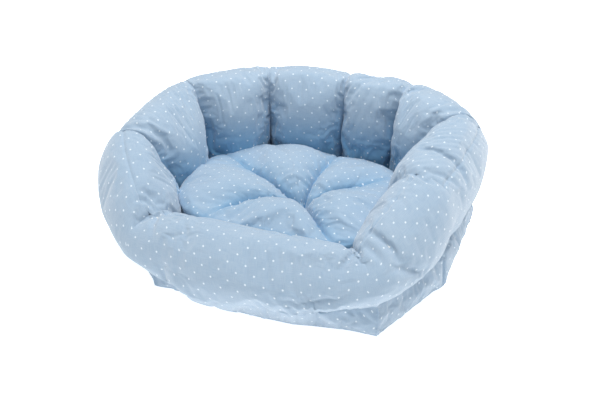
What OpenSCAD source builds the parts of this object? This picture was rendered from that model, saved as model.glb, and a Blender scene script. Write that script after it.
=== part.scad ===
// Nest bed for a small dog or cat: a ring of nine stuffed chambers on a padded base, with a loose
// tufted cushion. The origin is on the floor under the middle of the bed, and the low front faces -Y.

/* [Ridge of the wall, in plan] */
// Width across the ridge seam at the two rear corners
ridge_w = 376; // [330:1:430]
// Depth from the front ridge seam to the middle ridge seam at the back
ridge_d = 296; // [260:1:340]
// Width of the front chamber, between its two seams
front_w = 244; // [210:1:260]
// How far the side seams lie inside the widest line
side_inset = 14; // [6:1:30]
// From the front seam line back to the side seams
side_back = 82; // [70:1:100]
// From the back seam forward to the rear corner seams
rear_forward = 72; // [60:1:90]
// Width across the two seams of the back
back_w = 208; // [180:1:230]
// How far those two seams lie forward of the middle back seam
back_forward = 6; // [0:1:20]
// Sideways place of the middle back seam, which isn't quite central
back_shift = 14; // [-30:1:30]

/* [Height of the ridge at the seams] */
// At the front seams
front_h = 98; // [80:1:115]
// At the side seams
side_h = 148; // [130:1:165]
// At the rear corner seams
rear_h = 166; // [150:1:185]
// At the seams of the back
back_h = 174; // [155:1:190]
// How far each chamber's crest stands above its seams
crest_rise = 8; // [4:1:12]

/* [Stuffing of the wall] */
// Thickness of the wall at a chamber's middle, inside the ridge
belly_in = 44; // [36:1:50]
// Thickness of the wall at a chamber's middle, outside the ridge
belly_out = 52; // [44:1:60]
// Thickness of the wall where a seam draws it in, inside the ridge
seam_in = 18; // [12:1:24]
// Thickness of the wall where a seam draws it in, outside the ridge
seam_out = 38; // [28:1:42]
// How far a long side bows beyond a straight line
bow = 6; // [3:1:10]
// Width of the gap in which the panels are sewn through
seam_gap = 2; // [1.5:0.1:3]

/* [Base] */
// Height of the padded base
base_h = 44; // [34:1:50]
// From the ridge seam out to the base's corners
base_out = 38; // [32:1:44]

/* [Cloth and thread] */
// Thickness of the outer cloth, with its backing
cloth = 1.2; // [0.8:0.1:2]
// Depth of the seam allowance that hangs inside the ridge
allowance = 10; // [6:1:14]
// Diameter of the topstitching thread
thread_d = 0.9; // [0.6:0.1:1.4]
// Length of one topstitch
stitch = 4; // [3:0.5:6]
// Distance between the two rows of topstitching at a corner
row_gap = 7; // [5:0.5:10]

/* [Cushion] */
// Gap between the cushion's edge and the wall
cushion_gap = 3; // [1:0.5:6]
// Thickness of the cushion
cushion_t = 42; // [34:1:50]
// Depth of the dimple at the tuft
tuft_depth = 16; // [8:1:22]
// Radius of the dimple at the tuft
tuft_r = 34; // [20:1:50]
// How far the tuft lies forward of the cushion's middle
tuft_forward = 32; // [0:1:45]
// How far the tuft lies to the right of the cushion's middle
tuft_side = 20; // [-30:1:30]
// Diameter of the thread that draws the tuft down
tuft_thread_d = 2; // [1:0.5:4]
// Gap between the cushion and the lining that it lies on
rest_gap = 0.5; // [0.4:0.1:2]

/* [Hidden] */
CHAMBERS = [
    "front_right", "right", "back_right", "back_centre_right", "back_centre_left",
    "back_left", "left", "front_left", "front"
];
CASE_PARTS = ["outer_panel_", "inner_panel_", "fibre_fill_"];
$fn = 96;

cloth_colour = [0.68, 0.79, 0.91];
lining_colour = [0.62, 0.74, 0.88];
fibre_colour = [0.96, 0.96, 0.94];
thread_colour = [0.60, 0.72, 0.87];

// The origin is midway between the wall's outermost front and back.
ridge_front = (ridge_d - back_forward / 2) / 2;
ridge_back = ridge_d - ridge_front;

// Ridge seam points, anticlockwise from the front right one, each [x, y, height].
right_seams = [
    [front_w / 2, -ridge_front, front_h],
    [ridge_w / 2 - side_inset, side_back - ridge_front, side_h],
    [ridge_w / 2, ridge_back - rear_forward, rear_h],
    [back_w / 2, ridge_back - back_forward, back_h]
];
middle_seam = [back_shift, ridge_back, back_h];
left_seams = [for (i = [3:-1:0]) [-right_seams[i].x, right_seams[i].y, right_seams[i].z]];
SEAMS = concat(right_seams, [middle_seam], left_seams);
count = len(SEAMS);

// Chamber i runs from seam i to seam i + 1. Its own frame has x along the ridge and -y outward.
function seam(i) = SEAMS[i % count];
function foot(i) = [seam(i).x, seam(i).y];
function run(i) = foot(i + 1) - foot(i);
function length_of(i) = norm(run(i));
function heading(i) = atan2(run(i).y, run(i).x);
// Half of the angle by which the ring turns at seam i, from -180 to 180.
function half_turn(i) = ((heading(i) - heading(i + count - 1) + 540) % 360 - 180) / 2;
function start_tan(i) = tan(half_turn(i));
function end_tan(i) = tan(half_turn(i + 1));
function slope(i) = atan2(seam(i + 1).z - seam(i).z, length_of(i));
function mean_h(i) = (seam(i).z + seam(i + 1).z) / 2;

// The plan: arcs that leave each seam at shoulder degrees, flattened by a slightly bowed side.
shoulder = 66;
far = 90;
PROFILE_STEPS = 28;
roundness = 2.3;

module in_chamber(i) {
    translate([seam(i).x, seam(i).y, 0]) rotate([0, 0, heading(i)]) children();
}

// The slice of the ring between two seams, each cut drawn in by gap.
module slice(i, gap) {
    start_gap = gap / cos(half_turn(i));
    end_gap = gap / cos(half_turn(i + 1));
    polygon([
        [far * start_tan(i) + start_gap, far],
        [length_of(i) - far * end_tan(i) - end_gap, far],
        [length_of(i) + far * end_tan(i) - end_gap, -far],
        [-far * start_tan(i) + start_gap, -far]
    ]);
}

// One side of the plan: side is 1 outside the ridge and -1 inside it.
module side_plan(i, side, belly, drawn, inset) {
    chord = length_of(i) + side * drawn * (start_tan(i) + end_tan(i));
    middle = (length_of(i) + side * drawn * (end_tan(i) - start_tan(i))) / 2;
    sagitta = chord / 2 * tan(shoulder / 2);
    shoulder_r = chord * chord / (8 * sagitta) + sagitta / 2;
    bow_r = chord * chord / (8 * bow) + bow / 2;
    intersection() {
        translate([middle, side * (shoulder_r - drawn - sagitta)])
            circle(r = shoulder_r - inset);
        translate([middle, side * (bow_r - belly)])
            circle(r = bow_r - inset);
    }
}

// The section of the wall, a rounded oval that is thicker outside the ridge than inside it.
module wall_profile(height, inset) {
    polygon([for (k = [0:PROFILE_STEPS - 1])
        let (
            a = 360 * (k + 0.5) / PROFILE_STEPS,
            half = cos(a) > 0 ? belly_in : belly_out,
            x = sign(cos(a)) * pow(abs(cos(a)), 2 / roundness),
            z = sign(sin(a)) * pow(abs(sin(a)), 2 / roundness)
        )
        [(half - inset) * x, (height - inset) * z]]);
}

// The crest seen from the side: an arc from seam to seam that rises between them.
module crest_disc(i, inset) {
    chord = length_of(i) / cos(slope(i));
    crest_r = chord * chord / (8 * crest_rise) + crest_rise / 2;
    translate([length_of(i) / 2, far, mean_h(i)])
        rotate([90, -slope(i), 0])
            translate([0, crest_rise - crest_r, 0])
                cylinder(r = crest_r - inset, h = 2 * far, $fn = 180);
}

// A stuffed chamber, drawn in by inset on every face but its sewn ends.
module chamber(i, inset) {
    belly_h = (mean_h(i) + crest_rise) / 2;
    reach = length_of(i) + 2 * far;
    intersection() {
        translate([0, 0, base_h + inset])
            linear_extrude(mean_h(i) + far)
                intersection() {
                    slice(i, seam_gap / 2);
                    side_plan(i, 1, belly_out, seam_out, inset);
                    side_plan(i, -1, belly_in, seam_in, inset);
                }
        translate([length_of(i) / 2, 0, belly_h])
            rotate([0, -slope(i), 0])
                translate([-reach / 2, 0, 0])
                    rotate([90, 0, 90])
                        linear_extrude(reach)
                            wall_profile(belly_h * cos(slope(i)), inset);
        crest_disc(i, inset);
    }
}

// The half of space outside the ridge (side 1) or inside it (side -1).
module half_space(i, side) {
    translate([-far, side > 0 ? -2 * far : 0, -1])
        cube([length_of(i) + 2 * far, 2 * far, 4 * far]);
}

// Where the two panels' raw edges hang down inside the ridge.
module allowance_zone(i) {
    difference() {
        translate([-far, -cloth, 0])
            cube([length_of(i) + 2 * far, 2 * cloth, 4 * far]);
        crest_disc(i, cloth + allowance);
    }
}

module panel(i, side) {
    intersection() {
        difference() {
            chamber(i, 0);
            chamber(i, cloth);
        }
        half_space(i, side);
    }
}

// The outer cloth carries on down the side of the base to the floor.
module base_band(i) {
    linear_extrude(base_h)
        intersection() {
            slice(i, 0);
            translate([-far, -base_out])
                square([length_of(i) + 2 * far, cloth]);
        }
}

module outer_panel(i) {
    color(cloth_colour)
        in_chamber(i) {
            panel(i, 1);
            base_band(i);
        }
}

module inner_panel(i) {
    color(lining_colour)
        in_chamber(i)
            panel(i, -1);
}

module fibre_fill(i) {
    color(fibre_colour)
        in_chamber(i)
            difference() {
                chamber(i, cloth);
                allowance_zone(i);
            }
}

module ridge_seam_allowances() {
    color(lining_colour)
        for (i = [0:count - 1])
            in_chamber(i)
                intersection() {
                    chamber(i, cloth);
                    allowance_zone(i);
                }
}

// The end face of a chamber, at the seam that it starts from.
module seam_outline(i) {
    belly_h = (seam(i).z + crest_rise) / 2;
    skew = 1 / cos(half_turn(i));
    intersection() {
        translate([0, belly_h])
            wall_profile(belly_h, 0);
        translate([-seam_out * skew, base_h])
            square([(seam_out + seam_in) * skew, seam(i).z - base_h]);
    }
}

// At each seam the two panels are sewn together through the wall, from the ridge to the base.
module chamber_seams() {
    color(thread_colour)
        for (i = [0:count - 1])
            in_chamber(i)
                rotate([90, 0, 90 - half_turn(i)])
                    linear_extrude(seam_gap, center = true)
                        seam_outline(i);
}

// Two rows of stitches run down each corner of the base, one on each side of it.
module corner_topstitching() {
    rows = floor((base_h - stitch) / (2 * stitch));
    color(thread_colour)
        for (i = [0:count - 1])
            in_chamber(i)
                for (x = [row_gap / 2 - base_out * start_tan(i),
                          length_of(i) + base_out * end_tan(i) - row_gap / 2])
                    for (k = [0:rows - 1])
                        translate([x, -base_out - thread_d / 2, stitch * (2 * k + 1)])
                            cylinder(d = thread_d, h = stitch, $fn = 16);
}

// The outline of the base, drawn in by inset.
module base_outline(inset) {
    polygon([for (i = [0:count - 1])
        let (
            out = (base_out - inset) / cos(half_turn(i)),
            a = heading(i) - 90 - half_turn(i)
        )
        foot(i) + out * [cos(a), sin(a)]]);
}

module base_bottom_panel() {
    color(lining_colour)
        linear_extrude(cloth)
            base_outline(cloth);
}

module base_pad() {
    color(fibre_colour)
        translate([0, 0, cloth])
            linear_extrude(base_h - 2 * cloth)
                base_outline(cloth);
}

module base_lining() {
    color(lining_colour)
        translate([0, 0, base_h - cloth])
            linear_extrude(cloth)
                base_outline(cloth);
}

// How far to the right the cushion's round end can lie and still clear the slanted chamber i.
function corner_reach(i) =
    let (
        d = (seam(i + 1) - seam(i)) / length_of(i),
        clear = cushion_r + belly_in + cushion_gap
    )
    seam(i).x + ((cushion_y - seam(i).y) * d.x - clear) / d.y;

// The cushion fills the floor of the hollow, squeezed into a long round by the wall.
inner_front = belly_in - ridge_front;
inner_back = (seam(3).y + seam(4).y) / 2 - belly_in;
inner_side = (seam(1).x + seam(2).x) / 2 - belly_in;
cushion_y = (inner_front + inner_back) / 2;
cushion_r = (inner_back - inner_front) / 2 - cushion_gap;
cushion_room = min(inner_side - cushion_gap - cushion_r, corner_reach(0), corner_reach(2));
// Kept to whole tenths, so that the round ends and the straight middle meet exactly.
cushion_straight = floor(10 * cushion_room) / 10;
cushion_z = base_h + rest_gap + cushion_t / 2;
dimple_r = (tuft_r * tuft_r + tuft_depth * tuft_depth) / (2 * tuft_depth);

module long_round(edge_r, half_t) {
    for (side = [-1, 1])
        translate([side * cushion_straight, 0, 0])
            rotate([0, 0, -90 * side])
                rotate_extrude(angle = 180)
                    cushion_profile(edge_r, half_t);
    translate([-cushion_straight, 0, 0])
        rotate([90, 0, 90])
            linear_extrude(2 * cushion_straight) {
                cushion_profile(edge_r, half_t);
                mirror([1, 0]) cushion_profile(edge_r, half_t);
            }
}

// Half of the cushion's section: flat above and below, with a full round edge.
module cushion_profile(edge_r, half_t) {
    translate([0, -half_t])
        square([edge_r - half_t, 2 * half_t]);
    translate([edge_r - half_t, 0])
        intersection() {
            circle(r = half_t);
            translate([0, -half_t])
                square([half_t, 2 * half_t]);
        }
}

module cushion_body(inset) {
    difference() {
        translate([0, cushion_y, cushion_z])
            long_round(cushion_r - inset, cushion_t / 2 - inset);
        translate([tuft_side, cushion_y - tuft_forward, cushion_z + cushion_t / 2 - tuft_depth + dimple_r])
            sphere(r = dimple_r + inset);
    }
}

module cushion_shell(side) {
    intersection() {
        difference() {
            cushion_body(0);
            cushion_body(cloth);
        }
        translate([-2 * far, -2 * far, side > 0 ? cushion_z : cushion_z - cushion_t])
            cube([4 * far, 4 * far, cushion_t]);
    }
}

module cushion_allowance_zone() {
    difference() {
        translate([0, cushion_y, cushion_z])
            linear_extrude(2 * cloth, center = true)
                square(4 * far, center = true);
        translate([0, cushion_y, cushion_z])
            linear_extrude(3 * cloth, center = true)
                long_round_plan(cushion_r - cloth - allowance);
    }
}

module long_round_plan(r) {
    for (side = [-1, 1])
        translate([side * cushion_straight, 0]) circle(r = r);
    square([2 * cushion_straight, 2 * r], center = true);
}

module tuft_thread(d) {
    translate([tuft_side, cushion_y - tuft_forward, cushion_z - cushion_t / 2 + cloth])
        cylinder(d = d, h = cushion_t - tuft_depth - 2 * cloth, $fn = 24);
}

module cushion_top_panel() {
    color(cloth_colour) cushion_shell(1);
}

module cushion_bottom_panel() {
    color(cloth_colour) cushion_shell(-1);
}

module cushion_filling() {
    color(fibre_colour)
        difference() {
            cushion_body(cloth);
            cushion_allowance_zone();
            tuft_thread(tuft_thread_d);
        }
}

module cushion_seam_allowance() {
    color(lining_colour)
        intersection() {
            cushion_body(cloth);
            cushion_allowance_zone();
        }
}

module cushion_tuft_thread() {
    color(thread_colour) tuft_thread(tuft_thread_d);
}

for (i = [0:count - 1]) {
    outer_panel(i);
    inner_panel(i);
    fibre_fill(i);
}
ridge_seam_allowances();
chamber_seams();
corner_topstitching();
base_bottom_panel();
base_pad();
base_lining();
cushion_top_panel();
cushion_bottom_panel();
cushion_filling();
cushion_seam_allowance();
cushion_tuft_thread();
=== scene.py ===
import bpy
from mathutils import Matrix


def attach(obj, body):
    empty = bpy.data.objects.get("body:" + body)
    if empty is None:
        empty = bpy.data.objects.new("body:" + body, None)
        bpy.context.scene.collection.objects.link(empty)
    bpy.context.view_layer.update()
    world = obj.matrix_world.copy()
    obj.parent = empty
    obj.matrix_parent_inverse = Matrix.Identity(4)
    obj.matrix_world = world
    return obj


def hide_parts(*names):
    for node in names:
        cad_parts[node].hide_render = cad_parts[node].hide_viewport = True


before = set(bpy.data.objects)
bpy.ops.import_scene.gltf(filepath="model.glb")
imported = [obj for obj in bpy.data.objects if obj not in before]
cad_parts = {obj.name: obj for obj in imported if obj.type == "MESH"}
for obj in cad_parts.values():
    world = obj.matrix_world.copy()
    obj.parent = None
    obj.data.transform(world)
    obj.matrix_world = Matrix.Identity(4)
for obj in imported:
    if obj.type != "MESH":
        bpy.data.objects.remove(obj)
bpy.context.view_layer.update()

import math

import bpy
import numpy as np
from mathutils import Vector

mm = 0.001

# view and light
view = {
    "turn": 18.5,            # degrees to the right of straight on
    "raise": 32.0,           # degrees above the floor
    "distance": 0.95,
    "target": (0.0135, -0.020, 0.0655),
    "lens": 43.3,            # on a 36 mm sensor
    "sky": (0.86, 0.93, 1.0, 1),
    "worldStrength": 0.44,
    "keyPower": 22.0,
    "keySize": 1.4,
    "keyPlace": (0.1, 0.08, 1.5),
}


def aimAt(thing, target):
    # turns a light or camera so that its -Z looks at target
    away = np.array(thing.location) - np.array(target)
    thing.rotation_mode = "QUATERNION"
    thing.rotation_quaternion = Vector(away).to_track_quat("Z", "Y")


def makeCamera():
    turn, lift = math.radians(view["turn"]), math.radians(view["raise"])
    back = np.array([math.sin(turn) * math.cos(lift), -math.cos(turn) * math.cos(lift), math.sin(lift)])
    data = bpy.data.cameras.new("camera")
    data.lens = view["lens"]
    data.sensor_width = 36.0
    camera = bpy.data.objects.new("camera", data)
    camera.location = np.array(view["target"]) + view["distance"] * back
    aimAt(camera, view["target"])
    bpy.context.scene.collection.objects.link(camera)
    bpy.context.scene.camera = camera


def areaLight(name, place, size, power):
    data = bpy.data.lights.new(name, "AREA")
    data.shape, data.size, data.energy = "DISK", size, power
    lamp = bpy.data.objects.new(name, data)
    lamp.location = place
    aimAt(lamp, (0, 0, 0.06))
    bpy.context.scene.collection.objects.link(lamp)


makeCamera()
world = bpy.data.worlds.new("world")
bpy.context.scene.world = world
world.use_nodes = True
world.node_tree.nodes["Background"].inputs["Color"].default_value = view["sky"]
world.node_tree.nodes["Background"].inputs["Strength"].default_value = view["worldStrength"]
areaLight("key", view["keyPlace"], view["keySize"], view["keyPower"])
bpy.context.scene.view_settings.view_transform = "Standard"
print("camera and lights made")


class Wire:
    # one output socket of a material; sums and products with numbers or other wires add Math nodes
    def __init__(self, tree, socket=None):
        self.tree, self.socket = tree, socket

    def add(self, kind, settings=None, values=None, out=0):
        node = self.tree.nodes.new(kind)
        for key, value in (settings or {}).items():
            setattr(node, key, value)
        for key, value in (values or {}).items():
            if isinstance(value, Wire):
                self.tree.links.new(value.socket, node.inputs[key])
            else:
                node.inputs[key].default_value = value
        return Wire(self.tree, node.outputs[out])

    def maths(self, operation, *terms):
        return self.add("ShaderNodeMath", {"operation": operation}, dict(enumerate(terms)))

    def __add__(self, other):
        return self.maths("ADD", self, other)

    def __sub__(self, other):
        return self.maths("SUBTRACT", self, other)

    def __mul__(self, other):
        return self.maths("MULTIPLY", self, other)

    def __truediv__(self, other):
        return self.maths("DIVIDE", self, other)

    def __rsub__(self, other):
        return self.maths("SUBTRACT", other, self)

    def __pow__(self, other):
        return self.maths("POWER", self, other)

    __radd__, __rmul__ = __add__, __mul__

    def fract(self):
        return self.maths("FRACT", self)

    def sine(self):
        return self.maths("SINE", self)

    def smooth(self, low, high):
        # 0 below low, 1 above high
        return self.add("ShaderNodeMapRange", {"interpolation_type": "SMOOTHSTEP"},
                        {"Value": self, "From Min": low, "From Max": high})

    def tint(self, first, second):
        # first where this wire is 0, second where it is 1
        return self.add("ShaderNodeMix", {"data_type": "RGBA"}, {0: self, 6: first, 7: second}, out=2)


def newMaterial(name, colour=(0.5, 0.5, 0.5, 1)):
    made = bpy.data.materials.new(name)
    made.use_nodes = True
    made.diffuse_color = colour
    shader = made.node_tree.nodes["Principled BSDF"]
    return made, Wire(made.node_tree), shader


cotton = {
    "blue": (0.415, 0.52, 0.625, 1),
    "deepBlue": (0.315, 0.44, 0.575, 1),
    "dot": (0.76, 0.83, 0.89, 1),
    "hollowBlue": (0.095, 0.325, 0.555, 1),   # painted shade: a deeper blue painted low in the nest, where shade falls
    "hollowShare": 0.85,
    "pitch": 15.0 * mm,       # between nearest dots
    "dotRadius": 1.7 * mm,
    "thread": 0.7 * mm,       # of the weave
    "weaveDepth": 0.05 * mm,
    "crumple": 0.9 * mm,
    "roughness": 0.82,
    "sheen": 0.6,
}


def dottedCotton(name, dots=True):
    made, wire, shader = newMaterial(name, cotton["blue"])
    tree = made.node_tree
    sheetPlace = wire.add("ShaderNodeUVMap", {"uv_map": "cut"})
    parts = tree.nodes.new("ShaderNodeSeparateXYZ")
    tree.links.new(sheetPlace.socket, parts.inputs[0])
    across, along = Wire(tree, parts.outputs[0]), Wire(tree, parts.outputs[1])
    place = wire.add("ShaderNodeTexCoord", out="Object")
    # threads of slightly different blue, run both ways
    stretchU = wire.add("ShaderNodeMapping", {}, {"Vector": sheetPlace, "Scale": (2600, 90, 1)})
    stretchV = wire.add("ShaderNodeMapping", {}, {"Vector": sheetPlace, "Scale": (90, 2600, 1)})
    warp, weft = (wire.add("ShaderNodeTexNoise", {"noise_dimensions": "2D"},
                           {"Vector": stretch, "Scale": 1.0, "Detail": 1.0}) for stretch in (stretchU, stretchV))
    wide = wire.add("ShaderNodeTexNoise", {}, {"Vector": place, "Scale": 22.0, "Detail": 3.0})
    heather = (warp + weft) * 0.5
    amount = (heather - 0.5) * 2.4 + (wide - 0.5) * 0.5 + 0.5
    colour = amount.smooth(0.0, 1.0).tint(cotton["deepBlue"], cotton["blue"])
    # painted shade: the cloth is mixed to a deeper blue where its points are marked as lying in shade
    hollow = wire.add("ShaderNodeAttribute", {"attribute_name": "hollow"}, out="Fac")
    colour = (hollow * cotton["hollowShare"]).tint(colour, cotton["hollowBlue"])
    if dots:
        # lattice turned by 45 degrees: distance from the nearest dot's middle
        half = cotton["pitch"] * math.sqrt(2)
        first = ((across + along) / half + 0.25).fract() - 0.5
        second = ((across - along) / half + 0.25).fract() - 0.5
        blur = (wire.add("ShaderNodeTexNoise", {}, {"Vector": place, "Scale": 900.0}) - 0.5) * 0.35 * mm
        far = (first * first + second * second) ** 0.5 * half + blur
        mask = 1 - far.smooth(cotton["dotRadius"] - 0.35 * mm, cotton["dotRadius"] + 0.25 * mm)
        colour = mask.tint(colour, cotton["dot"])
    turnsU = (across * (2 * math.pi / cotton["thread"])).sine()
    turnsV = (along * (2 * math.pi / cotton["thread"])).sine()
    crumple = wire.add("ShaderNodeTexNoise", {}, {"Vector": place, "Scale": 55.0, "Detail": 4.0, "Roughness": 0.55})
    height = turnsU * turnsV * cotton["weaveDepth"] + crumple * cotton["crumple"]
    bump = wire.add("ShaderNodeBump", {}, {"Height": height, "Strength": 0.8, "Distance": 1.0})
    tree.links.new(colour.socket, shader.inputs["Base Color"])
    tree.links.new(bump.socket, shader.inputs["Normal"])
    shader.inputs["Roughness"].default_value = cotton["roughness"]
    shader.inputs["Sheen Weight"].default_value = cotton["sheen"]
    shader.inputs["Sheen Roughness"].default_value = 0.6
    shader.inputs["Specular IOR Level"].default_value = 0.2
    return made


fibre = {"white": (0.86, 0.86, 0.83, 1), "shade": (0.74, 0.74, 0.72, 1), "tuft": 0.6 * mm}


def hollowFibre(name):
    made, wire, shader = newMaterial(name, fibre["white"])
    tree = made.node_tree
    place = wire.add("ShaderNodeTexCoord", out="Object")
    hairs = wire.add("ShaderNodeTexNoise", {}, {"Vector": place, "Scale": 160.0, "Detail": 5.0, "Distortion": 1.4})
    colour = hairs.smooth(0.3, 0.7).tint(fibre["shade"], fibre["white"])
    bump = wire.add("ShaderNodeBump", {}, {"Height": hairs * fibre["tuft"], "Distance": 1.0})
    tree.links.new(colour.socket, shader.inputs["Base Color"])
    tree.links.new(bump.socket, shader.inputs["Normal"])
    shader.inputs["Roughness"].default_value = 0.95
    return made


sewing = {"blue": (0.30, 0.42, 0.56, 1), "light": (0.42, 0.54, 0.68, 1)}


def seamThread(name):
    made, wire, shader = newMaterial(name, sewing["blue"])
    tree = made.node_tree
    place = wire.add("ShaderNodeTexCoord", out="Object")
    strands = wire.add("ShaderNodeTexWave", {"bands_direction": "DIAGONAL"},
                       {"Vector": place, "Scale": 300.0, "Distortion": 1.0})
    colour = strands.tint(sewing["blue"], sewing["light"])
    bump = wire.add("ShaderNodeBump", {}, {"Height": strands * 0.1 * mm, "Distance": 1.0})
    tree.links.new(colour.socket, shader.inputs["Base Color"])
    tree.links.new(bump.socket, shader.inputs["Normal"])
    shader.inputs["Roughness"].default_value = 0.6
    return made


dotted = dottedCotton("dottedCotton")
plain = dottedCotton("plainCotton", dots=False)
filling = hollowFibre("hollowFibre")
thread = seamThread("seamThread")
print("materials made")


def placed(name, data, material=None):
    piece = bpy.data.objects.new(name, data)
    bpy.context.scene.collection.objects.link(piece)
    if material:
        data.materials.append(material)
    return piece


def meshFrom(name, points, quads, uv=None, material=None, smooth=True):
    # points (n, 3) in mm, faces as rows of corner numbers, uv per face corner in metres
    data = bpy.data.meshes.new(name)
    data.from_pydata((points * mm).tolist(), [], quads if isinstance(quads, list) else quads.tolist())
    if uv is not None:
        sheet = data.uv_layers.new(name="cut")
        sheet.data.foreach_set("uv", uv.astype(np.float32).ravel())
    data.polygons.foreach_set("use_smooth", np.full(len(data.polygons), smooth))
    data.update()
    return placed(name, data, material)


def gridQuads(columns, rows, closed=False):
    # corner numbers of the quads of a columns x rows grid of points, columns first
    across = np.arange(columns if closed else columns - 1)
    along = np.arange(rows - 1)
    i, j = np.meshgrid(across, along, indexing="ij")
    nextI = (i + 1) % columns
    return np.stack([i * rows + j, i * rows + j + 1, nextI * rows + j + 1, nextI * rows + j], -1).reshape(-1, 4)


def lengths(path, axis):
    # running length along one axis of a grid of points, from 0
    steps = np.linalg.norm(np.diff(path, axis=axis), axis=-1)
    start = np.zeros_like(np.take(steps, [0], axis=axis))
    return np.concatenate([start, np.cumsum(steps, axis=axis)], axis=axis)


def resample(rows, fractions):
    # each row of points (n, m, k) walked again at the given fractions of its own length
    run = lengths(rows, 1)
    run = run / run[:, -1:]
    shift = np.arange(len(rows))[:, None] * 2.0
    wanted = (shift + fractions[None, :]).ravel()
    known = (shift + run).ravel()
    out = [np.interp(wanted, known, rows[..., k].ravel()).reshape(len(rows), -1) for k in range(rows.shape[2])]
    return np.stack(out, -1)


# the ring of stuffed chambers, in mm
ring = {
    # seam points along the ridge, from the right front corner round to the left: x, y, height
    "seams": [(124, -145, 92), (168, -50, 150), (194, 82, 167), (116, 148, 172), (28, 154, 173),
              (-90, 147, 173), (-184, 74, 165), (-194, -62, 152), (-128, -145, 95)],
    # corners of the base on the floor, in the same order
    "feet": [(156, -172), (212, -56), (224, 94), (124, 182), (22, 188),
             (-112, 182), (-224, 88), (-208, -78), (-126, -168)],
    "crestPinch": [0.62, 0.92, 0.80, 0.78, 0.78, 0.78, 0.78, 0.70, 0.62],   # at each seam
    "innerPinch": [0.40, 0.62, 0.42, 0.40, 0.40, 0.40, 0.42, 0.42, 0.40],
    "outerPinch": [0.93, 0.99, 0.98, 0.97, 0.97, 0.97, 0.98, 0.97, 0.93],
    "places": ["front_right", "right", "back_right", "back_centre_right", "back_centre_left",
               "back_left", "left", "front_left", "front"],
    "bellyIn": [43, 50, 50, 46, 46, 50, 50, 47, 42],
    "bellyOut": [53, 43, 48, 40, 40, 42, 43, 50, 50],
    "bow": [2, 4, 2, 2, 2, 1, 2, 3, 18],
    "rise": [6, 9, 5, 9, 6, 6, 4, 10, 2],
    "lean": [17, 11, 6, -2, -2, 0, 14, 22, 2],
    "columns": [34, 42, 36, 28, 36, 36, 42, 34, 66],
    "bandHeight": 45, "bandBulge": 5, "footBow": 10,
    "rowsIn": 40, "rowsOut": 46, "rowsBand": 14,
    "round": 2.3,
    "foot": 44,
    "beneath": 32.0,         # where a free tube would end under the outer belly
}
count = len(ring["seams"])


def ringColumns():
    # chamber number and place along the chamber (0..1) of every column, each seam once
    chamber = np.concatenate([np.full(n, j) for j, n in enumerate(ring["columns"])])
    t = np.concatenate([np.arange(n) / n for n in ring["columns"]])
    return chamber, t


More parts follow.
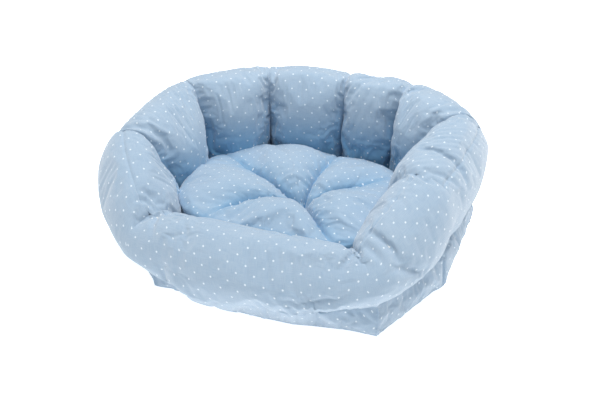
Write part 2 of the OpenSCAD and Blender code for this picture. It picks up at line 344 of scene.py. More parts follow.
def ringSurface():
    # A stuffed tube carried along the ridge. Each section is a superellipse, w outward and z up, whose width and
    # height swell from the seams to the middle of a chamber by puff = sqrt(1 - |2t - 1|^2.6). Outside, the tube
    # meets the straight band of the base where the band is wider.
    chamber, t = ringColumns()
    seams, feet = np.array(ring["seams"], float), np.array(ring["feet"], float)
    after = np.roll(seams, -1, axis=0)
    step = (after - seams)[:, :2]
    out = np.stack([step[:, 1], -step[:, 0]], 1) / np.linalg.norm(step, axis=1)[:, None]
    mitre = out + np.roll(out, 1, axis=0)
    mitre /= np.linalg.norm(mitre, axis=1)[:, None]
    puff = np.sqrt(np.clip(1 - np.abs(2 * t - 1) ** 2.6, 0, 1))
    ease = t * t * (3 - 2 * t)
    column = lambda values: np.asarray(values)[:, None]

    def pick(key):
        # a chamber's own value in its middle, shared with its neighbour at a seam
        own = np.array(ring[key], float)
        before = (own + np.roll(own, 1)) / 2
        behind = np.roll(before, -1)
        ends = np.where(t < 0.5, before[chamber], behind[chamber])
        return column(ends + (own[chamber] - ends) * puff)

    def atSeam(key):
        # a seam's own value, eased along the chamber to the next seam's
        own = np.array(ring[key], float)
        return column(own[chamber] * (1 - ease) + np.roll(own, -1)[chamber] * ease)

    line = seams[chamber] + (after - seams)[chamber] * t[:, None]
    line[:, :2] += out[chamber] * (np.array(ring["bow"], float)[chamber] * 4 * t * (1 - t))[:, None]
    normal = mitre[chamber] * (1 - t)[:, None] + np.roll(mitre, -1, axis=0)[chamber] * t[:, None]
    normal /= np.linalg.norm(normal, axis=1)[:, None]
    height = column(line[:, 2]) + pick("rise") * column(puff)
    edge = feet[chamber] + (np.roll(feet, -1, axis=0) - feet)[chamber] * t[:, None]
    side = np.stack([-normal[:, 1], normal[:, 0]], 1)
    band = column(np.sum((edge - line[:, :2]) * normal, axis=1))
    slip = column(np.sum((edge - line[:, :2]) * side, axis=1))
    # how far the tube's under side is drawn up: not at all in the middle of the front
    near = np.clip(1 - np.minimum(t / 0.30, (1 - t) / 0.40), 0, 1)
    corner = column(np.where(chamber == count - 1, near * near * (3 - 2 * near), 1.0))
    under = ring["beneath"]
    angle = np.linspace(0, 1, 90)[None, :]
    power = 2 / ring["round"]
    c, s = np.cos(angle * math.pi / 2) ** power, np.sin(angle * math.pi / 2) ** power
    swell = column(puff)
    lean = pick("lean")
    # inner side: foot up to crest
    zi = 0.5 * (height + 8)
    pinchIn = atSeam("innerPinch") + (1 - atSeam("innerPinch")) * swell
    pinchTop = atSeam("crestPinch") + (1 - atSeam("crestPinch")) * swell
    pinchOut = atSeam("outerPinch") + (1 - atSeam("outerPinch")) * swell
    zUp = zi + (height - zi) * s
    wUp = -pick("bellyIn") * (pinchIn + (pinchTop - pinchIn) * s ** 3) * c
    zLow = ring["foot"] + (zi - ring["foot"]) * np.linspace(0, 1, 40)[None, :-1]
    wLow = -pick("bellyIn") * pinchIn * (1 - ((zi - zLow) / (zi - 8)) ** ring["round"]) ** (1 / ring["round"])
    inner = np.stack([np.concatenate([wLow, wUp], 1), np.concatenate([zLow, zUp], 1)], -1)
    inner[..., 0] += lean * (inner[..., 1] / height - 0.5)
    # outer side: crest down to the band
    zo = 0.5 * (height + under)
    backS, backC = s[:, ::-1], c[:, ::-1]
    zTop = zo + (height - zo) * backS
    wTop = pick("bellyOut") * (pinchOut + (pinchTop - pinchOut) * backS ** 3) * backC
    zDown = zo * (1 - np.linspace(0, 1, 160)[None, 1:])
    deep = np.clip((zo - zDown) / (zo - under), 0, 1)
    tube = pick("bellyOut") * pinchOut * (1 - deep ** ring["round"]) ** (1 / ring["round"])
    tube = tube + lean * (zDown / height - 0.5)
    wTop = wTop + lean * (zTop / height - 0.5)
    low = np.clip(zDown / ring["bandHeight"], 0, 1)
    belt = band + ring["bandBulge"] * (4 * low * (1 - low)) ** 0.8 - 3 * low
    belt = belt - 60 * np.clip(zDown / ring["bandHeight"] - 1, 0, 1) ** 1.5
    gap = tube - belt
    full = np.clip((zo - zDown) / (zo + 25), 0, 1)
    whole = pick("bellyOut") * pinchOut * (1 - full ** 2.6) ** (1 / 2.6) + lean * (zDown / height - 0.5)
    footBow = band + ring["footBow"] * column(4 * t * (1 - t) * (chamber == count - 1)) + 4 * column(4 * t * (1 - t))
    whole = whole + (footBow - whole[:, -1:]) * (1 - zDown / zo) ** 2.5
    wDown = whole * (1 - corner) + np.maximum(tube, belt) * corner
    outer = np.stack([np.concatenate([wTop, wDown], 1), np.concatenate([zTop, zDown], 1)], -1)
    # the fold where the tube meets the band keeps its own row
    meet = np.argmax((gap <= 0) & (zDown < 75), axis=1)
    runOut = lengths(outer, 1)
    fold = column(np.take_along_axis(runOut, (meet + zTop.shape[1])[:, None], 1)[:, 0] / runOut[:, -1])
    upper = np.linspace(0, 1, ring["rowsOut"] + 1)[None, :] * fold
    lower = fold + np.linspace(0, 1, ring["rowsBand"] + 1)[None, 1:] * (1 - fold)
    fractions = np.concatenate([upper, lower], 1)
    shift = column(np.arange(len(outer)) * 2.0)
    known = (shift + runOut / runOut[:, -1:]).ravel()
    wanted = (shift + fractions).ravel()
    outer = np.stack([np.interp(wanted, known, outer[..., k].ravel()).reshape(len(outer), -1) for k in (0, 1)], -1)
    inner = resample(inner, np.linspace(0, 1, ring["rowsIn"] + 1))
    section = np.concatenate([inner, outer[:, 1:]], 1)
    # the base's corners lie a little further along than the ridge's
    rows = section.shape[1]
    down = np.clip((np.arange(rows) - ring["rowsIn"]) / ring["rowsOut"], 0, 1)[None, :] ** 2
    flat = line[:, None, :2] + normal[:, None, :] * section[..., :1] + side[:, None, :] * (slip * down)[..., None]
    points = np.concatenate([flat, section[..., 1:]], -1)
    return points, chamber, t, puff, normal, side, corner[:, 0]


points, chamber, along, puff, normal, side, corner = ringSurface()
crestRow = ring["rowsIn"]
foldRow = crestRow + ring["rowsOut"]
firstColumn = np.concatenate([[0], np.cumsum(ring["columns"])])
print("ring surface", points.shape, points.reshape(-1, 3).min(0).round(), points.reshape(-1, 3).max(0).round())


folds = {
    # single folds: chamber, place along it and section at both ends, depth and width in mm
    # (section: 0 inner foot, 1 crest, 2 under the outer belly)
    "single": [
        ("left", 0.90, 0.55, 0.93, 1.30, 7.0, 4.5), ("left", 0.80, 0.75, 0.86, 1.25, 2.5, 4.5),
        ("back_left", 0.40, 0.97, 0.30, 0.78, 2.2, 4.0), ("back_left", 0.10, 1.05, 0.05, 0.70, 3.0, 4.0),
        ("back_centre_left", 0.90, 1.05, 0.96, 0.62, 4.0, 4.0),
        ("back_centre_left", 0.30, 0.98, 0.32, 0.70, 1.2, 5.0),
        ("back_centre_right", 0.83, 0.70, 0.45, 1.02, 3.2, 4.0),
        ("back_centre_right", 0.93, 0.78, 0.62, 1.04, 1.8, 4.0),
        ("back_right", 0.10, 0.70, 0.16, 1.22, 5.0, 4.5), ("back_right", 0.26, 0.82, 0.30, 1.18, 2.4, 4.5),
        ("back_right", 0.85, 0.92, 0.70, 1.20, 2.4, 4.5),
        ("right", 0.33, 0.86, 0.27, 1.42, 3.6, 4.5), ("right", 0.92, 0.84, 0.90, 1.20, 3.0, 4.5),
        ("right", 0.03, 0.98, 0.12, 1.30, 3.0, 4.0),
        ("front_right", 0.97, 0.90, 0.93, 1.16, 5.0, 4.0), ("front_right", 0.22, 0.95, 0.30, 1.42, 4.5, 5.0),
        ("front_right", 0.10, 1.00, 0.14, 1.40, 3.0, 4.5), ("front_right", 0.55, 1.70, 0.20, 1.45, 2.5, 8.0),
        ("front", 0.97, 1.02, 0.90, 1.30, 3.5, 5.0), ("front", 0.92, 1.62, 0.66, 1.78, 2.5, 7.0),
        ("front", 0.03, 1.02, 0.10, 1.28, 3.0, 5.0), ("front", 0.20, 1.05, 0.24, 1.18, 1.5, 4.0),
        ("front_left", 0.94, 0.94, 0.86, 1.04, 3.5, 4.5), ("front_left", 0.86, 0.85, 0.80, 1.02, 1.8, 4.5),
    ],
    # fine puckers across the ridge: chamber, how many, depth, first and last section, slant
    "puckers": [
        ("left", 17, 2.1, 0.62, 1.30, 0.35), ("right", 16, 2.0, 0.72, 1.34, -0.45),
        ("back_right", 9, 1.0, 0.80, 1.28, -0.30), ("front_left", 8, 0.8, 0.84, 1.03, 0.10),
        ("back_left", 8, 0.5, 0.86, 1.25, 0.20), ("front", 15, 0.5, 0.86, 1.04, 0.10),
        ("front_right", 7, 0.6, 0.92, 1.22, -0.20), ("back_centre_left", 6, 0.4, 0.84, 1.20, 0.10),
        ("back_centre_right", 5, 0.5, 0.84, 1.20, -0.20),
    ],
}


def sectionPlace(rows, fine=1):
    # 0 at the inner foot, 1 on the crest, 2 at the fold over the base, then on to the floor
    row = np.arange(rows) / fine
    return np.where(row < crestRow, row / crestRow, 1 + (row - crestRow) / ring["rowsOut"])


def outward(grid):
    # unit normals of a grid of points, columns first
    across, up = np.gradient(grid, axis=0), np.gradient(grid, axis=1)
    n = np.cross(up, across)
    return n / np.maximum(np.linalg.norm(n, axis=-1, keepdims=True), 1e-9)


def foldRing(points):
    # each fold is a valley: depth exp(-(distance / width)^2), where distance is from its line on the cloth in mm
    v = sectionPlace(points.shape[1])[None, :]
    sink = np.zeros(points.shape[:2])
    for place, t0, v0, t1, v1, depth, wide in folds["single"]:
        j = ring["places"].index(place)
        cols = np.flatnonzero(chamber == j)
        t = along[cols][:, None]
        reachT = np.linalg.norm(points[cols[-1], crestRow] - points[cols[0], crestRow])
        reachV = 120.0
        dt, dv = (t1 - t0) * reachT, (v1 - v0) * reachV
        size = math.hypot(dt, dv)
        px, py = (t - t0) * reachT, (v - v0) * reachV
        k = np.clip((px * dt + py * dv) / size ** 2, 0, 1)
        off = np.hypot(px - k * dt, py - k * dv)
        taper = np.sin(math.pi * np.clip(0.12 + 0.76 * k, 0, 1))
        sink[cols] = np.maximum(sink[cols], depth * taper * np.exp(-(off / wide) ** 2))
    return points - outward(points) * sink[..., None]


def simulate(points, quads, hold, settings):
    # inflates a cloth copy of the mesh, held by the weights, and returns where its points go, moved by cap at most
    trial = meshFrom("trial", points, quads)
    group = trial.vertex_groups.new(name="held")
    for level in np.unique(np.round(hold, 2)):
        if level > 0:
            group.add(np.flatnonzero(np.round(hold, 2) == level).tolist(), float(level), "REPLACE")
    cloth = trial.modifiers.new("cloth", "CLOTH")
    rules = cloth.settings
    rules.quality = settings["quality"]
    rules.mass = settings["mass"]
    rules.tension_stiffness = rules.compression_stiffness = settings["stretch"]
    rules.shear_stiffness = settings["shear"]
    rules.bending_stiffness = settings["bend"]
    rules.tension_damping = rules.compression_damping = settings["damping"]
    rules.shear_damping = settings["damping"]
    rules.bending_damping = 0.5
    rules.air_damping = settings["air"]
    rules.shrink_min = -settings["spare"]
    rules.use_pressure = True
    rules.uniform_pressure_force = settings["pressure"]
    rules.vertex_group_mass = "held"
    rules.pin_stiffness = 1.0
    rules.effector_weights.gravity = 0.0
    cloth.collision_settings.use_collision = False
    cloth.collision_settings.use_self_collision = False
    cloth.point_cache.frame_start, cloth.point_cache.frame_end = 1, settings["frames"]
    scene = bpy.context.scene
    for moment in range(1, settings["frames"] + 1):
        scene.frame_set(moment)
    graph = bpy.context.evaluated_depsgraph_get()
    done = trial.evaluated_get(graph)
    co = np.empty(len(points) * 3, np.float32)
    done.data.vertices.foreach_get("co", co)
    bpy.data.objects.remove(trial)
    scene.frame_set(1)
    moved = co.reshape(-1, 3).astype(float) / mm - points
    far = np.linalg.norm(moved, axis=1, keepdims=True)
    print("simulated", len(points), "points; moved", np.percentile(far, [50, 90, 99]).round(1), "mm")
    cap = settings["cap"]
    return points + moved * (cap * np.tanh(far / cap) / np.maximum(far, 1e-9))


inflate = {
    "pressure": 4.0, "spare": 0.05, "frames": 16, "quality": 5, "mass": 0.0008,
    "stretch": 15.0, "shear": 5.0, "bend": 0.05, "damping": 5.0, "air": 1.0, "cap": 9.0,
}


def inflateRing(points):
    columns, rows = points.shape[:2]
    hold = np.zeros((columns, rows))
    starts = firstColumn[:-1]
    hold[starts, :crestRow + 2] = 1
    hold[:, 0] = hold[:, -1] = 1
    hold[:, foldRow] = np.clip(corner * 1.5, 0, 1)
    quads = gridQuads(columns, rows, closed=True)
    moved = simulate(points.reshape(-1, 3), quads, hold.ravel(), inflate).reshape(points.shape)
    moved[..., 2] = np.maximum(moved[..., 2], 0.3)
    return moved


def blendSeams(points, spread=4.0, reach=7.0):
    # on the outside the cloth runs smoothly from chamber to chamber: columns near a seam take a Gaussian mean
    steps = np.arange(-12, 13)
    weights = np.exp(-(steps / spread) ** 2)
    mean = sum(w * np.roll(points, k, 0) for k, w in zip(steps, weights)) / weights.sum()
    column = np.arange(len(points))[:, None]
    off = np.abs((column - firstColumn[:-1][None] + len(points) / 2) % len(points) - len(points) / 2).min(1)
    v = sectionPlace(points.shape[1])
    rising = np.clip((v - 1.12) / 0.25, 0, 1)
    falling = np.clip((2.0 - v) / 0.1, 0, 1)
    share = np.exp(-(off / reach) ** 2)[:, None] * (rising * rising * (3 - 2 * rising) * falling)[None, :]
    return points + (mean - points) * share[..., None]


points = foldRing(points)
points = inflateRing(points)
points = blendSeams(points)


def finer(grid, axis):
    # a point halfway between each pair, on the cubic through its four neighbours
    g = np.moveaxis(grid, axis, 0)
    first, last = 2 * g[:1] - g[1:2], 2 * g[-1:] - g[-2:-1]
    wide = np.concatenate([first, g, last])
    middle = (9 * (wide[1:-2] + wide[2:-1]) - wide[:-3] - wide[3:]) / 16
    out = np.empty((2 * len(g) - 1,) + g.shape[1:])
    out[::2], out[1::2] = g, middle
    return np.moveaxis(out, 0, axis)


def pucker(block, place, seed):
    # fine waves across the ridge, sharp in their valleys: depth (1 - |sin|)^1.5, with uneven heights and phases
    draw = np.random.default_rng(seed)
    t = np.linspace(0, 1, block.shape[0])[:, None]
    v = sectionPlace(block.shape[1], 2)[None, :]
    wave = lambda x, y: sum(draw.uniform(0.4, 1) * np.sin(x * draw.uniform(3, 16) + y * draw.uniform(2, 9)
                                                        + draw.uniform(0, 6.3)) for _ in range(5)) / 5
    drop = np.zeros(block.shape[:2])
    for name, number, depth, low, high, slant in folds["puckers"]:
        if name != place:
            continue
        centre, half = (low + high) / 2, (high - low) / 2
        band = np.exp(-(np.abs(v - centre - 0.12 * wave(t, 0 * v)) / half) ** 4)
        phase = math.pi * (number * t + number * slant * 0.12 * (v - 1) * 8 + 0.55 * wave(t, v))
        ridge = (1 - np.abs(np.sin(phase))) ** 1.5
        uneven = np.clip(0.55 + 0.9 * wave(t, v), 0, 1.4)
        ends = np.clip(np.minimum(t, 1 - t) / 0.05, 0, 1)
        drop = drop + depth * ridge * band * uneven * ends
    inland = np.clip(np.minimum(t, 1 - t) / 0.15, 0, 1)
    soft = 0.6 * wave(t * 3, v * 4) * inland * inland
    return block - outward(block) * (drop + soft)[..., None]


seamAt = {
    # rows past the crest where the inner cloth meets the outer, in each chamber
    "rows": [-3, 10, 14, 16, 16, 16, 14, 2, -6],
    "groove": 1.5, "grooveWide": 1.3,
}
cloth = {"thick": 1.0}


def thicken(piece, depth, inwards=-1.0):
    # edges used by one face are kept crisp, so the cut edge of the cloth doesn't darken its face
    data = piece.data
    used = np.empty(len(data.loops), np.int32)
    data.loops.foreach_get("edge_index", used)
    crisp = data.attributes.new("sharp_edge", "BOOLEAN", "EDGE")
    crisp.data.foreach_set("value", np.bincount(used, minlength=len(data.edges)) == 1)
    made = piece.modifiers.new("cloth", "SOLIDIFY")
    made.thickness, made.offset = depth * mm, inwards
    made.use_rim = True


def dress(piece, body, nodes):
    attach(piece, body)
    if nodes:
        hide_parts(*nodes)
    return piece


def shadeOf(block):
    # painted shade: how deep a point lies low in the nest, 0 to 1, with the creases beside the chamber seams counted
    # as deep; the cloth is painted darker and bluer there
    crest = block[..., 2].max(1)[:, None]
    deep = np.clip((np.minimum(140, crest - 22) - block[..., 2]) / 78, 0, 1)
    deep = deep * deep * (3 - 2 * deep)
    t = np.linspace(0, 1, block.shape[0])[:, None]
    crease = np.exp(-(np.minimum(t, 1 - t) / 0.08) ** 1.4) * np.clip((crest - 18 - block[..., 2]) / 40, 0, 1)
    return 1 - (1 - deep) * (1 - 0.6 * crease)


def paintShade(piece, amount):
    # stores the painted shade per point, which the cotton material mixes to a deeper blue
    shade = piece.data.attributes.new("hollow", "FLOAT", "POINT")
    shade.data.foreach_set("value", np.asarray(amount, np.float32).ravel())


belly = 2 * (crestRow + 18)
run = 0.0
blocks = []
for j, place in enumerate(ring["places"]):
    cols = np.arange(firstColumn[j], firstColumn[j + 1] + 1) % len(points)
    block = finer(finer(points[cols], 0), 1)
    block = pucker(block, place, 40 + j)
    block[..., 2] = np.maximum(block[..., 2], 0.2)
    blocks.append(block)
for j in range(count):
    # neighbours share their seam column
    shared = (blocks[j][-1] + blocks[(j + 1) % count][0]) / 2
    blocks[j][-1], blocks[(j + 1) % count][0] = shared, shared.copy()
for j, place in enumerate(ring["places"]):
    block = blocks[j]
    up = lengths(block, 1)
    up = up - up[:, 2 * crestRow:2 * crestRow + 1]
    walk = lengths(block, 0)
    half = block.shape[0] // 2
    across = walk - walk[half] + run + walk[half, belly]
    run += walk[-1, belly]
    cut = np.stack([across, up], -1) * mm
    seam = 2 * (crestRow + seamAt["rows"][j])
    normals = outward(block)
    row = np.arange(block.shape[1])[None, :]
    dip = seamAt["groove"] * np.exp(-((row - seam) / seamAt["grooveWide"]) ** 2)
    block = block - normals * (dip * np.ones((block.shape[0], 1)))[..., None]
    blocks[j] = block
    for part, first, last in (("inner", 0, seam), ("outer", seam, block.shape[1] - 1)):
        patch = block[:, first:last + 1]
        spot = cut[:, first:last + 1].reshape(-1, 2)
        quads = gridQuads(patch.shape[0], patch.shape[1])
        piece = meshFrom(f"{part}_{place}", patch.reshape(-1, 3), quads, spot[quads.ravel()], dotted)
        if part == "inner":
            # painted shade on the inner panels, deepest low in the nest and in the seam creases
            paintShade(piece, shadeOf(patch))
        thicken(piece, cloth["thick"])
        dress(piece, "bed", [f"{part}_panel_{place}"])
print("ring pieces made")


def tubes(name, many, material, joined=False):
    # one mesh of closed tubes, each given as rings of points (n, m, 3), capped by fans at both ends or joined round
    verts, quads, fans, base = [], [], [], 0
    for loops in many:
        n, m = loops.shape[:2]
        i, j = np.meshgrid(np.arange(n if joined else n - 1), np.arange(m), indexing="ij")
        nextI, nextJ = (i + 1) % n * m, (j + 1) % m
        quads.append(np.stack([i * m + j, i * m + nextJ, nextI + nextJ, nextI + j], -1).reshape(-1, 4) + base)
        verts.append(loops.reshape(-1, 3))
        if not joined:
            rim = np.arange(m)
            start = np.stack([np.full(m, n * m), (rim + 1) % m, rim], -1)
            end = np.stack([np.full(m, n * m + 1), (n - 1) * m + rim, (n - 1) * m + (rim + 1) % m], -1)
            verts.append(np.concatenate([loops[:1].mean(1), loops[-1:].mean(1)]))
            fans.append(np.concatenate([start, end]) + base)
        base += n * m + (0 if joined else 2)
    fans = fans or [np.zeros((0, 3), int)]
    verts, quads, fans = np.concatenate(verts), np.concatenate(quads), np.concatenate(fans)
    # turned round where the enclosed volume comes out negative
    a, b, c = verts[quads[:, 0]], verts[quads[:, 1]], verts[quads[:, 2]]
    d = verts[quads[:, 3]]
    volume = (np.cross(a, b) * c).sum() + (np.cross(a, c) * d).sum()
    f, g, h = verts[fans[:, 0]], verts[fans[:, 1]], verts[fans[:, 2]]
    if volume + (np.cross(f, g) * h).sum() < 0:
        quads, fans = quads[:, ::-1], fans[:, ::-1]
    data = bpy.data.meshes.new(name)
    data.from_pydata((verts * mm).tolist(), [], quads.tolist() + fans.tolist())
    data.polygons.foreach_set("use_smooth", np.full(len(data.polygons), True))
    data.update()
    return placed(name, data, material)


inside = {"gap": 6.0, "step": 6, "floor": 47.0}
for j, place in enumerate(ring["places"]):
    block = blocks[j]
    inner = block - outward(block) * inside["gap"]
    rows = np.r_[4:2 * foldRow - 8:inside["step"]]
    cols = np.r_[3:block.shape[0] - 3:inside["step"]]
    loops = inner[cols][:, rows]
    loops[..., 2] = np.maximum(loops[..., 2], inside["floor"])
    piece = tubes(f"fill_{place}", [loops], filling)
    dress(piece, "bed", [f"fibre_fill_{place}"])


def tubeAlong(path, radius, around=6):
    # loops of a thin round thread along a path of points (n, 3)
    step = np.gradient(path, axis=0)
    step /= np.linalg.norm(step, axis=1, keepdims=True)
    aside = np.cross(step, np.array([0.31, 0.22, 0.93]))
    aside /= np.linalg.norm(aside, axis=1, keepdims=True)
    other = np.cross(step, aside)
    a = np.linspace(0, 2 * math.pi, around, endpoint=False)
    c, s = np.cos(a)[None, :, None], np.sin(a)[None, :, None]
    return path[:, None] + radius * (c * aside[:, None] + s * other[:, None])


chamberThreads = []
for j in range(count):
    block = blocks[j]
    path = block[0, 6:2 * (crestRow - 2):2] - outward(block)[1, 6:2 * (crestRow - 2):2] * 0.3
    chamberThreads.append(tubeAlong(path, 0.45))
dress(tubes("chamber_stitching", chamberThreads, thread), "bed", ["chamber_seams"])

allowances = []
for j in range(count):
    block = blocks[j]
    seam = 2 * (crestRow + seamAt["rows"][j])
    cols = np.r_[4:block.shape[0] - 4:3]
    normal = outward(block)[cols, seam]
    deep = np.array([2.4, 5.5, 9.0, 12.0])
    strip = block[cols, seam][:, None] - normal[:, None] * deep[None, :, None]
    up = block[cols, seam + 3] - block[cols, seam - 3]
    up /= np.linalg.norm(up, axis=1, keepdims=True)
    allowances.append(np.concatenate([strip + up[:, None] * 0.8, (strip - up[:, None] * 0.8)[:, ::-1]], 1))
dress(tubes("ridge_allowance", allowances, plain), "bed", ["ridge_seam_allowances"])

stitches = {"long": 3.2, "gap": 5.0, "radius": 0.42}
rows = []
for j in range(count):
    for block, edge, way in ((blocks[j], 0, 1), (blocks[j - 1], -1, -1)):
        column = edge + way
        path = block[column, 2 * foldRow + 2:]
        lift = outward(block)[column, 2 * foldRow + 2:]
        heights = path[:, 2]
        for high in np.arange(heights[0] - 2, 4, -stitches["gap"]):
            z = np.linspace(high, high - stitches["long"], 5)
            pick = np.interp(-z, -heights, np.arange(len(heights)))
            whole = np.floor(pick).astype(int).clip(0, len(path) - 2)
            part = (pick - whole)[:, None]
            line = path[whole] * (1 - part) + path[whole + 1] * part
            bulge = np.array([-0.25, 0.25, 0.35, 0.25, -0.25])[:, None]
            rows.append(tubeAlong(line + lift[whole] * bulge, stitches["radius"], 5))
dress(tubes("corner_stitching", rows, thread), "bed", ["corner_topstitching"])


def layer(name, outline, low, high, crown, material, edgeRound=3.0):
    # a flat closed pad in an outline (n, 2): its top face rises by crown in the middle, with a rounded edge
    middle = outline.mean(0)
    share = np.array([0.02, 0.25, 0.5, 0.75, 0.9, 0.97])
    half = (high - low) / 2
    r = min(edgeRound, half)
    sides = []
    for s0 in share:
        sides.append((s0, high + crown * (1 - s0 ** 2)))
    sides.append((1.0, high - r * 0.35))
    sides.append((1.006, (low + high) / 2))
    sides.append((1.0, low + r * 0.35))
    for s0 in share[::-1]:
        sides.append((s0, low))
    loops = np.stack([np.concatenate([middle + (outline - middle) * f, np.full((len(outline), 1), z)], 1)
                      for f, z in sides])
    piece = tubes(name, [loops], material)
    sheet = piece.data.uv_layers.new(name="cut")
    corners = np.empty(len(piece.data.loops), int)
    piece.data.loops.foreach_get("vertex_index", corners)
    co = np.empty(len(piece.data.vertices) * 3)
    piece.data.vertices.foreach_get("co", co)
    sheet.data.foreach_set("uv", co.reshape(-1, 3)[corners, :2].astype(np.float32).ravel())
    return piece


def baseOutline(inset):
    edge = np.concatenate([block[:-1:4, -1, :2] for block in blocks])
    middle = edge.mean(0)
    away = edge - middle
    return edge - away / np.linalg.norm(away, axis=1, keepdims=True) * inset


base = {"panel": 1.2, "pad": (1.6, 41.5), "lining": (42.4, 43.8)}
bottom = layer("base_bottom", baseOutline(1.5), 0.0, base["panel"], 0, plain)
dress(bottom, "bed", ["base_bottom_panel"])
wadding = layer("base_wadding", baseOutline(5.0), *base["pad"], 0.5, filling, 14)
dress(wadding, "bed", ["base_pad"])
lining = layer("lining_cloth", baseOutline(5.5), *base["lining"], 0.3, plain)
dress(lining, "bed", ["base_lining"])
print("inner pieces made")


# the loose cushion, in mm
cushion = {
    "halfWide": 145, "halfDeep": 114, "middleY": -11,
    "bottom": 44.5, "seamHeight": 67, "crown": 29,
    "tuft": (20, -33), "tuftDepth": 20, "tuftReach": 20,
    "folds": [36, 90, 153, 197, 306], "foldDepth": [17, 19, 23, 17, 21],
    "foldEnd": [0.80, 0.95, 0.97, 0.85, 0.97], "foldTurn": [0.05, -0.08, -0.10, 0.40, 0.06],
    "softFolds": [232, 268, 340, 62, 120, 163], "softDepth": 3.0, "crevice": 7.0, "clear": 3.5,
    "around": 300, "rings": 56,
}


def cushionOutline(angle, middle):
    # distance from middle to the long round outline in each direction, by halving
    low, high = np.zeros_like(angle), np.full_like(angle, 300.0)
    for _ in range(40):
        far = (low + high) / 2
        x = middle[0] + far * np.cos(angle)
        y = middle[1] + far * np.sin(angle) - cushion["middleY"]
        inside = (np.abs(x) / cushion["halfWide"]) ** 2.8 + (np.abs(y) / cushion["halfDeep"]) ** 2.8 < 1
        low, high = np.where(inside, far, low), np.where(inside, high, far)
    return (low + high) / 2


def cushionTop():
    # height = seam height + crown sqrt(1 - r^4), less the tuft's dimple and a valley along each fold
    angle = np.linspace(0, 2 * math.pi, cushion["around"], endpoint=False)[:, None]
    share = np.linspace(0, 1, cushion["rings"] + 1)[None, :] ** 0.9
    tuft = np.array(cushion["tuft"], float)
    reach = cushionOutline(angle[:, 0], tuft)[:, None]
    far = reach * share
    x, y = tuft[0] + far * np.cos(angle), tuft[1] + far * np.sin(angle)
    z = cushion["seamHeight"] + cushion["crown"] * (1 - share ** 4) ** 0.5
    z = z - cushion["tuftDepth"] * np.exp(-(far / cushion["tuftReach"]) ** 1.1)
    valley, dusk = np.zeros_like(z), np.zeros_like(z)
    for deg, depth, end, turn in zip(*(cushion[k] for k in ("folds", "foldDepth", "foldEnd", "foldTurn"))):
        off = np.abs((angle - math.radians(deg) - turn * share + math.pi) % (2 * math.pi) - math.pi)
        line = np.exp(-(share / end) ** 6) * np.minimum(1, far / 10)
        near = off * far
        z = z - depth * line * (0.62 * np.exp(-(near / (9 + 0.17 * far)) ** 1.7) + 0.38 * np.exp(-near / 3.5))
        valley = np.maximum(valley, line * np.exp(-(near / 2.5) ** 2))
        dusk = np.maximum(dusk, line * np.exp(-near / (4 + 0.05 * far)))
    for deg in cushion["softFolds"]:
        off = np.abs((angle - math.radians(deg) + math.pi) % (2 * math.pi) - math.pi)
        wide = 7 + 0.1 * far
        z = z - cushion["softDepth"] * np.exp(-(off * far / wide) ** 2) * np.sin(math.pi * share) ** 0.8
    return np.stack([x + 0 * share, y + 0 * share, z], -1), valley, dusk


top, valley, dusk = cushionTop()
plump = {
    "pressure": 5.0, "spare": 0.05, "frames": 14, "quality": 5, "mass": 0.0008,
    "stretch": 15.0, "shear": 5.0, "bend": 0.05, "damping": 5.0, "air": 1.0, "cap": 7.0,
}


def discFaces(around, rings):
    # triangles from point 0 to the first ring, and the quads between the rings
    i = np.arange(around)
    fan = np.stack([np.zeros(around, int), i * rings + 1, (i + 1) % around * rings + 1], -1)
    return fan, gridQuads(around, rings, closed=True) + 1


def inflateTop(top):
    # the rim, the tuft and the bottoms of the folds are held
    around, rings = top.shape[:2]
    pole = top[:, 0].mean(0)[None]
    body = top[:, 1:]
    hold = valley[:, 1:].copy()
    hold[:, -1] = 1
    hold[:, :2] = 1
    fan, quads = discFaces(around, rings - 1)
    verts = np.concatenate([pole, body.reshape(-1, 3)])
    faces = fan.tolist() + quads.tolist()
    moved = simulate(verts, faces, np.concatenate([[1.0], hold.ravel()]), plump)
    out = top.copy()
    out[:, 0] = moved[0]
    out[:, 1:] = moved[1:].reshape(around, rings - 1, 3)
    return out


def discPiece(name, grid, material, flip=False):
    # a round grid, around x rings, whose first ring is one point
    around, rings = grid.shape[:2]
    pole = grid[:, 0].mean(0)[None]
    body = grid[:, 1:].reshape(-1, 3)
    verts = np.concatenate([pole, body])
    fan, quads = discFaces(around, rings - 1)
    quads = quads[:, ::-1] if flip else quads
    fan = fan[:, ::-1] if flip else fan
    walk = lengths(grid, 1)
    th = np.linspace(0, 2 * math.pi, around, endpoint=False)[:, None]
    flatPlace = np.stack([grid[0, 0, 0] + walk * np.cos(th), grid[0, 0, 1] + walk * np.sin(th)], -1) * mm
    uvVerts = np.concatenate([flatPlace[:1, 0], flatPlace[:, 1:].reshape(-1, 2)])
    data = bpy.data.meshes.new(name)
    data.from_pydata((verts * mm).tolist(), [], fan.tolist() + quads.tolist())
    sheet = data.uv_layers.new(name="cut")
    corners = np.concatenate([fan.ravel(), quads.ravel()])
    sheet.data.foreach_set("uv", uvVerts[corners].astype(np.float32).ravel())
    data.polygons.foreach_set("use_smooth", np.full(len(data.polygons), True))
    data.update()
    return placed(name, data, material)


top = inflateTop(top)
# the cloth is pinched into a narrow crevice along each fold, which stays clear of the bottom panel
sunk = top[..., 2] - cushion["crevice"] * (valley + dusk) / 2
top[..., 2] = np.maximum(sunk, cushion["bottom"] + cushion["clear"])


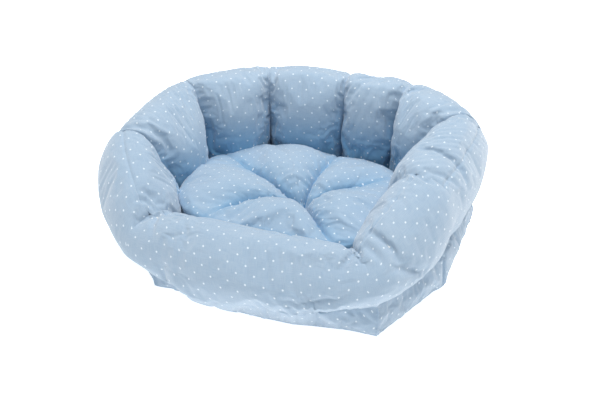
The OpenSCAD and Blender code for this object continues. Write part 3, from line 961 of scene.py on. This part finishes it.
def cushionUnder(top):
    # from the rim down round the edge and in to the middle, flat where it lies on the base
    rim = top[:, -1]
    middle = np.array([0.0, cushion["middleY"]])
    floor = cushion["bottom"]
    turn = np.linspace(0, math.pi / 2, 12)[None, :, None]
    inward = (rim[:, None, :2] - middle)
    deep = (rim[:, None, 2:] - floor)
    share = 1 - (1 - np.cos(turn)) * deep / np.linalg.norm(inward, axis=-1, keepdims=True)
    edge = np.concatenate([middle + inward * share, rim[:, None, 2:] - deep * np.sin(turn)], -1)
    flat = np.linspace(1, 0, 14)[None, 1:, None]
    last = edge[:, -1:, :2] - middle
    floorPart = np.concatenate([middle + last * flat, np.full((len(rim), 13, 1), floor)], -1)
    return np.concatenate([edge, floorPart], 1)[:, ::-1]


topPiece = discPiece("cushion_top", top, dotted)
away = np.linspace(0, 1, top.shape[1])[None, :]
# painted shade on the cushion top: darker along the folds, around the tuft and towards the rim
cushionShade = np.clip(0.12 + 0.85 * dusk + 0.3 * np.exp(-away / 0.10) + 0.5 * np.clip((away - 0.88) / 0.1, 0, 1), 0, 1)
paintShade(topPiece, np.concatenate([[cushionShade[0, 0]], cushionShade[:, 1:].ravel()]))
thicken(topPiece, cloth["thick"])
dress(topPiece, "cushion", ["cushion_top_panel"])
under = cushionUnder(top)
underPiece = discPiece("cushion_bottom", under, dotted, flip=True)
# painted shade over the whole cushion underside
paintShade(underPiece, np.full(len(underPiece.data.vertices), 0.66))
thicken(underPiece, cloth["thick"])
dress(underPiece, "cushion", ["cushion_bottom_panel"])

# filling: the same form, drawn in
middle = np.array([cushion["tuft"][0], cushion["tuft"][1], 47.0])
drawn = lambda grid, gap: grid + (middle - grid) / np.linalg.norm(middle - grid, axis=-1, keepdims=True) * gap
low = top.copy()
for turn in range(-6, 7):
    low[..., 2] = np.minimum(low[..., 2], np.roll(top[..., 2], turn, 0))
low[:, 3:, 2] = np.minimum(low[:, 3:, 2], low[:, :-3, 2] + 4) - 3
core = np.concatenate([low[::4, 2::5], under[::4, 1:-1:4][:, ::-1]], 1)
core = drawn(core, 4.0)
core[..., 2] = np.clip(core[..., 2], cushion["bottom"] + 2.0, None)
fillPiece = tubes("cushion_fill", [np.swapaxes(core, 0, 1)], filling)
dress(fillPiece, "cushion", ["cushion_filling"])

rim = top[::2, -1]
towards = np.array([0.0, cushion["middleY"], cushion["seamHeight"]]) - rim
towards[:, 2] = 0
towards /= np.linalg.norm(towards, axis=1, keepdims=True)
ribbon = np.stack([rim + towards * 1.8 + [0, 0, 0.6], rim + towards * 9 + [0, 0, 0.5],
                   rim + towards * 9 - [0, 0, 0.5], rim + towards * 1.8 - [0, 0, 0.6]], 1)
allowance = tubes("cushion_allowance", [ribbon], plain, joined=True)
dress(allowance, "cushion", ["cushion_seam_allowance"])

tie = np.stack([np.full(9, cushion["tuft"][0]), np.full(9, cushion["tuft"][1]),
                np.linspace(cushion["bottom"] + 1.2, top[:, 0, 2].mean() - 0.6, 9)], 1)
dress(tubes("cushion_tie", [tubeAlong(tie, 1.0, 8)], thread), "cushion", ["cushion_tuft_thread"])
print("cushion made")

floorSet = {"half": 6000.0, "down": -0.2, "white": (0.96, 0.96, 0.96, 1), "roughness": 0.9, "glow": 0.70}
s, down = floorSet["half"], floorSet["down"]
corners = np.array([(-s, -s, down), (s, -s, down), (s, s, down), (-s, s, down)])
floorPiece = meshFrom("floor", corners, np.array([[0, 1, 2, 3]]), smooth=False)
floorMaterial, wire, shader = newMaterial("floorWhite", floorSet["white"])
shader.inputs["Base Color"].default_value = floorSet["white"]
shader.inputs["Roughness"].default_value = floorSet["roughness"]
shader.inputs["Emission Color"].default_value = (1, 1, 1, 1)
shader.inputs["Emission Strength"].default_value = floorSet["glow"]
floorPiece.data.materials.append(floorMaterial)
